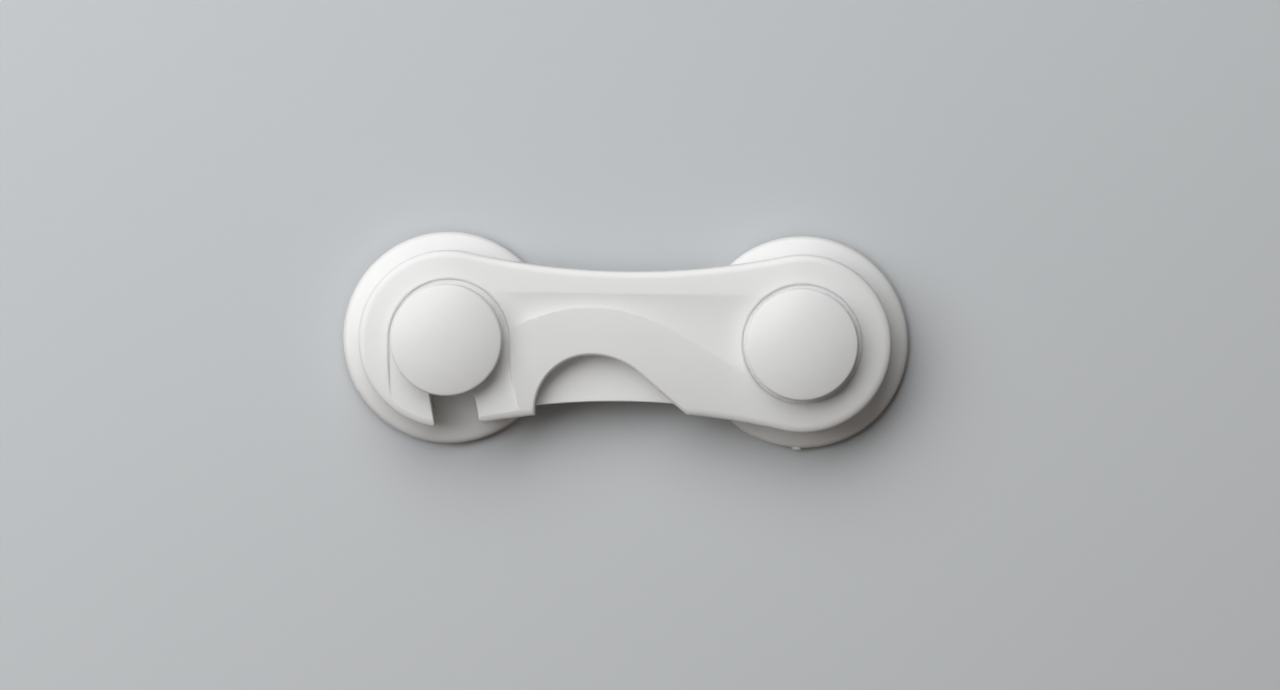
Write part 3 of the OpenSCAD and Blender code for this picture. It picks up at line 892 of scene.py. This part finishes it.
class LOCK_OT_model_arm_cover(bpy.types.Operator):
    """Model the arm's front shell with its pocket, ring, arch, slot and scoop"""
    bl_idname = "lock.model_arm_cover"
    bl_label = "Arm cover"

    def execute(self, context):
        plan = ArmPlan()
        p = plan.sizes
        under = ARM_BACK - OVERRUN
        over = ARM_FRONT + OVERRUN
        edge = rounding(p.edge, p.edge_fall)
        cover = lofted("cover", plan.crowned_rings(0, ARM_BACK, ARM_FRONT, edge))
        combine(cover, plan.scoop_tool())
        for name, outline in (
                ("pocket", plan.pocket(plan.pocket_r)), ("ring", circle(plan.ring_r))):
            combine(cover, plan.rim_tool(name, outline, plan.floor_front, p.wall_rim, plan.face_at))
        combine(cover, prism("nest", plan.outline(p.skirt_t), under, plan.floor_back))
        combine(cover, self.hollow(plan, over))
        arch = grown(plan.arch(), -p.arch_draft)
        combine(cover, plan.rim_tool("arch", arch, under, p.arch_rim, plan.face_at))
        combine(cover, plan.rim_tool("slot", plan.slot(), under, p.rim, plan.floor_at))
        combine(cover, prism("bore", circle(p.bore_r), under, over))
        for place in plan.post_places():
            combine(cover, self.post(p, place), "UNION")
        turn_faces_out(cover)
        finish_piece(cover, "arm_cover", "shell", abs_plastic())
        return {"FINISHED"}

    def hollow(self, plan, over):
        """The hollow under the face, without the walls round the pocket, the ring and the arch"""
        p = plan.sizes
        hollow = lofted("hollow", plan.crowned_rings(
            p.skirt_t, plan.floor_back - OVERRUN, ARM_FRONT - p.face_t, rounding(p.rim, p.rim)))
        for outline in (
                grown(plan.arch(), p.arch_wall), plan.pocket(plan.pocket_r + p.pocket_wall),
                circle(plan.ring_r + p.pocket_wall)):
            combine(hollow, prism("wall", outline, plan.floor_back - 2 * OVERRUN, over))
        return hollow

    def post(self, p, place):
        """A post moulded on the cover, its end melted over into a low dome in the back plate"""
        front = ARM_FRONT - p.face_t + OVERRUN
        neck = ARM_BACK + p.stake_head_t
        dome = [
            (p.stake_head_r - drawn, ARM_BACK + below)
            for drawn, below in reversed(rounding(p.stake_head_r, p.stake_dome, POST_STEPS))]
        return turned("post", dome + [
            (p.stake_head_r, neck), (p.stake_r, neck), (p.stake_r, front), (0, front)], place)


class LOCK_OT_model_back_plate(bpy.types.Operator):
    """Model the plate that closes the arm's back"""
    bl_idname = "lock.model_back_plate"
    bl_label = "Back plate"

    def execute(self, context):
        plan = ArmPlan()
        p = plan.sizes
        over = PLATE_FRONT + OVERRUN
        under = PLATE_BACK - OVERRUN
        inset = p.skirt_t + p.nest_gap
        plate = lofted("plate", [at_depth(plan.outline(inset), PLATE_BACK)] + [
            at_depth(plan.outline(inset + drawn), PLATE_FRONT - below)
            for drawn, below in rounding(p.rim, p.rim)])
        combine(plate, prism("slot", plan.slot(), under, over))
        combine(plate, prism("bore", circle(p.bore_r), under, over))
        neck = PLATE_BACK + p.stake_head_t + p.stake_gap
        head_r, post_r = p.stake_head_r + p.stake_gap, p.stake_r + p.stake_gap
        hole = [
            (0, under), (head_r, under), (head_r, neck), (post_r, neck), (post_r, over), (0, over)]
        for place in plan.post_places():
            combine(plate, turned("hole", hole, place))
        turn_faces_out(plate)
        finish_piece(plate, "arm_back_plate", "moulding", abs_plastic())
        return {"FINISHED"}


class LOCK_OT_model_bases(bpy.types.Operator):
    """Model the two base discs with their necks, bearing rings and gate stubs"""
    bl_idname = "lock.model_bases"
    bl_label = "Base discs"

    def execute(self, context):
        p = settings("lock_disc")
        disc = self.disc(p)
        # The catch disc is the same moulding, with its gate towards the arm
        for piece, (end, shift), gate in zip((disc, copied(disc)), ENDS, (p.gate_angle, 0)):
            combine(piece, self.gate_stub(p, gate), "UNION")
            turn_faces_out(piece)
            finish_piece(piece, end + "_base", "disc", abs_plastic(), shift)
        return {"FINISHED"}

    def disc(self, p):
        """A domed disc with its bearing ring, its neck, and the hole and recess for its screw"""
        front = BASE_BACK + p.thickness
        bearing = front + p.bearing_h
        run = BASE_R - p.bearing_r
        dome_r = (run ** 2 + p.dome ** 2) / (2 * p.dome)
        turn = math.asin((run - p.rim_w) / dome_r)
        dome = arc((p.bearing_r, front - dome_r), dome_r, 90 - math.degrees(turn), 90, DOME_STEPS)
        # The rim leaves the dome along its slope and ends upright
        corner = Vector((BASE_R, dome[0][1] - p.rim_w * math.tan(turn)))
        foot, top = corner - Vector((0, p.rim_h)), Vector(dome[0])
        shares = [i / EDGE_STEPS for i in range(EDGE_STEPS)]
        rim = [tuple(foot.lerp(corner, t).lerp(corner.lerp(top, t), t)) for t in shares]
        return turned("disc", [
            (p.screw_hole_r, p.head_recess_front), (p.head_recess_r, p.head_recess_front),
            (p.head_recess_r, BASE_BACK), (BASE_R - p.back_chamfer, BASE_BACK),
            (BASE_R, BASE_BACK + p.back_chamfer)]
            + rim + dome[:-1]
            + [(p.bearing_r + p.soft, front), (p.bearing_r, front + p.soft),
               (p.bearing_r, bearing), (p.neck_r, bearing), (p.neck_r, NECK_FRONT - p.soft),
               (p.neck_r - p.soft, NECK_FRONT), (p.screw_hole_r, NECK_FRONT)])

    def gate_stub(self, p, gate):
        """The stub that the moulding gate leaves on the rim, broken off with softened edges"""
        deselect_all()
        bpy.ops.mesh.primitive_cube_add(size=1)
        stub = start_piece("stub")
        bpy.ops.mesh.select_all(action="SELECT")
        bpy.ops.mesh.bevel(offset=p.gate_soft, segments=2, affect="EDGES")
        bpy.ops.object.mode_set(mode="OBJECT")
        stub.scale = (p.gate_root + p.gate_h, p.gate_w, p.gate_t)
        stub.location = (
            BASE_R + (p.gate_h - p.gate_root) / 2, 0, BASE_BACK + p.back_chamfer + p.gate_t / 2)
        fix_place(stub)
        stub.rotation_euler.z = math.radians(gate)
        fix_place(stub)
        return stub


class LOCK_OT_model_caps(bpy.types.Operator):
    """Model the two domed caps with their hollow undersides and screw bosses"""
    bl_idname = "lock.model_caps"
    bl_label = "Caps"

    def execute(self, context):
        p = settings("lock_cap")
        hole_r = settings("lock_disc").screw_hole_r
        dome_r = (CAP_R ** 2 + p.dome ** 2) / (2 * p.dome)
        dome_c = CAP_FRONT - dome_r
        edge_r = CAP_R - p.edge
        turn = math.degrees(math.asin(edge_r / (dome_r - p.edge)))
        edge_c = dome_c + (dome_r - p.edge) * math.cos(math.radians(turn))
        hollow = CAP_FRONT - p.dome - p.top_t
        edge = arc((edge_r, edge_c), p.edge, 0, 90 - turn, EDGE_STEPS)
        dome = arc((0, dome_c), dome_r, 90 - turn, 90, DOME_STEPS)[1:-1]
        section = [
            (0, p.pilot_front), (hole_r, p.pilot_front), (hole_r, CAP_BACK), (p.boss_r, CAP_BACK),
            (p.boss_r, hollow), (CAP_R - p.wall, hollow), (CAP_R - p.wall, CAP_BACK),
            (CAP_R - p.foot_chamfer, CAP_BACK), (CAP_R, CAP_BACK + p.foot_chamfer)]
        cap = turned("cap", section + edge + dome + [(0, CAP_FRONT)])
        for piece, (end, shift) in zip((cap, copied(cap)), ENDS):
            finish_piece(piece, end + "_cap", "button", abs_plastic(), shift)
        return {"FINISHED"}


class LOCK_OT_model_pads(bpy.types.Operator):
    """Model the two foam pads: a die-cut foam core between two adhesive films"""
    bl_idname = "lock.model_pads"
    bl_label = "Foam pads"

    def execute(self, context):
        p = settings("lock_disc")
        core = PAD_R - p.foam_inset
        back, front = PAD_BACK + p.film_t, PAD_FRONT - p.film_t
        pad = turned("pad", [
            (0, PAD_BACK), (PAD_R, PAD_BACK), (PAD_R, back), (core, back + p.foam_lead),
            (core, front - p.foam_lead), (PAD_R, front), (PAD_R, PAD_FRONT), (0, PAD_FRONT)])
        foam, film = cut_foam(), adhesive_film()
        for piece, (end, shift) in zip((pad, copied(pad)), ENDS):
            finish_piece(piece, end + "_pad", "foam", foam, shift)
            piece.data.materials.append(film)
            for face in piece.data.polygons:
                face.material_index = 1 if abs(face.normal.y) > FACING else 0
        return {"FINISHED"}


class LOCK_OT_finish_screws(bpy.types.Operator):
    """Plate the two screws with zinc"""
    bl_idname = "lock.finish_screws"
    bl_label = "Screws"

    def execute(self, context):
        zinc = zinc_plate()
        for end, _ in ENDS:
            screw = frame["nodes"][end + "_screw"]
            screw.data.materials.clear()
            screw.data.materials.append(zinc)
        return {"FINISHED"}


class LOCK_OT_set_stage(bpy.types.Operator):
    """Set up the floor, the board that the lock is stuck on, the lamps and the camera"""
    bl_idname = "lock.set_stage"
    bl_label = "Stage"

    def execute(self, context):
        p = settings("lock_stage")
        colours = settings("lock_colours")
        floor_paint = stage_paint("floor_paint", colours.floor, colours.bounce)
        self.plane("floor", floor_paint, p.floor_w, p.floor_w, (p.aim_x, 0, -p.floor_z), 0)
        board_paint = stage_paint("board_paint", colours.board, colours.bounce)
        board_z = p.board_h / 2 - p.floor_z
        self.plane("board", board_paint, p.board_w, p.board_h, (p.aim_x, p.board_gap, board_z), 90)
        aim = Vector((p.aim_x, -ARM_BACK, p.aim_z)) * MM
        for name, (away, size) in LAMPS.items():
            self.lamp(name + "_lamp", aim, Vector(away), size, getattr(p, name + "_power"))
        world = bpy.data.worlds.new("studio")
        context.scene.world = world
        world.use_nodes = True
        tree = world.node_tree
        # The backdrop looks pale, and still lights the lock only a little
        strength = add_node(tree, "ShaderNodeMapRange", {"Value": seen_ray(tree), "To Min": p.world})
        connect(tree, tree.nodes["Background"], {
            "Color": rgba(colours.backdrop), "Strength": strength.outputs[0]})
        context.scene.view_settings.view_transform = "Standard"
        self.camera(p, aim)
        return {"FINISHED"}

    def plane(self, name, material, width, height, place, tilt):
        """A sheet of the stage, tilted up from level by an angle in degrees"""
        deselect_all()
        bpy.ops.mesh.primitive_plane_add(size=1)
        sheet = bpy.context.object
        sheet.name = sheet.data.name = name
        sheet.scale = (width * MM, height * MM, 1)
        sheet.rotation_euler.x = math.radians(tilt)
        sheet.location = Vector(place) * MM
        fix_place(sheet)
        sheet.data.materials.append(material)

    def lamp(self, name, aim, away, size, watts):
        """An oval soft lamp that faces the lock from a place given in metres from it.

        The first of its two widths lies level with the board.
        """
        light = bpy.data.lights.new(name, "AREA")
        light.shape = "ELLIPSE"
        light.size, light.size_y = size
        light.energy = watts
        lamp = bpy.data.objects.new(name, light)
        bpy.context.scene.collection.objects.link(lamp)
        lamp.visible_camera = False
        lamp.location = aim + away
        back = away.normalized()
        level = Vector((0, -1, 0)).cross(back).normalized()
        lamp.rotation_euler = Matrix((level, back.cross(level), back)).transposed().to_euler()

    def camera(self, p, aim):
        """The camera, which looks at its aim and is turned a little about that line"""
        data = bpy.data.cameras.new("camera")
        data.lens = data.sensor_width * p.distance / p.field
        rise, turn = math.radians(p.rise), math.radians(p.turn)
        away = Vector((
            math.sin(turn) * math.cos(rise), -math.cos(turn) * math.cos(rise), math.sin(rise)))
        camera = bpy.data.objects.new("camera", data)
        bpy.context.scene.collection.objects.link(camera)
        camera.location = aim + away * p.distance * MM
        look = away.to_track_quat("Z", "Y").to_matrix()
        camera.rotation_euler = (look @ Matrix.Rotation(math.radians(p.roll), 3, "Z")).to_euler()
        bpy.context.scene.camera = camera


GROUPS = {
    "lock_disc": LockDiscSizes,
    "lock_cap": LockCapSizes,
    "lock_arm": LockArmSizes,
    "lock_scoop": LockScoopSizes,
    "lock_colours": LockColours,
    "lock_stage": LockStageSettings,
}
OPERATORS = (
    LOCK_OT_model_arm_cover, LOCK_OT_model_back_plate, LOCK_OT_model_bases,
    LOCK_OT_model_caps, LOCK_OT_model_pads, LOCK_OT_finish_screws, LOCK_OT_set_stage,
)


class LOCK_PT_sidebar(bpy.types.Panel):
    """Sizes, colours and steps of the safety lock"""
    bl_label = "Safety Lock"
    bl_space_type = "VIEW_3D"
    bl_region_type = "UI"
    bl_category = "Safety Lock"

    def draw(self, context):
        for operator in OPERATORS:
            self.layout.operator(operator.bl_idname)
        for name, group in GROUPS.items():
            box = self.layout.box()
            box.label(text=group.__doc__)
            for prop in group.__annotations__:
                box.prop(getattr(context.scene, name), prop)


def register():
    for group in GROUPS.values():
        bpy.utils.register_class(group)
    for operator in OPERATORS:
        bpy.utils.register_class(operator)
    bpy.utils.register_class(LOCK_PT_sidebar)
    for name, group in GROUPS.items():
        setattr(bpy.types.Scene, name, PointerProperty(type=group))


def unregister():
    for name in GROUPS:
        delattr(bpy.types.Scene, name)
    bpy.utils.unregister_class(LOCK_PT_sidebar)
    for operator in reversed(OPERATORS):
        bpy.utils.unregister_class(operator)
    for group in reversed(list(GROUPS.values())):
        bpy.utils.unregister_class(group)


def main():
    register()
    bpy.ops.lock.model_arm_cover()
    bpy.ops.lock.model_back_plate()
    bpy.ops.lock.model_bases()
    bpy.ops.lock.model_caps()
    bpy.ops.lock.model_pads()
    bpy.ops.lock.finish_screws()
    bpy.ops.lock.set_stage()


if __name__ == "__main__":
    main()
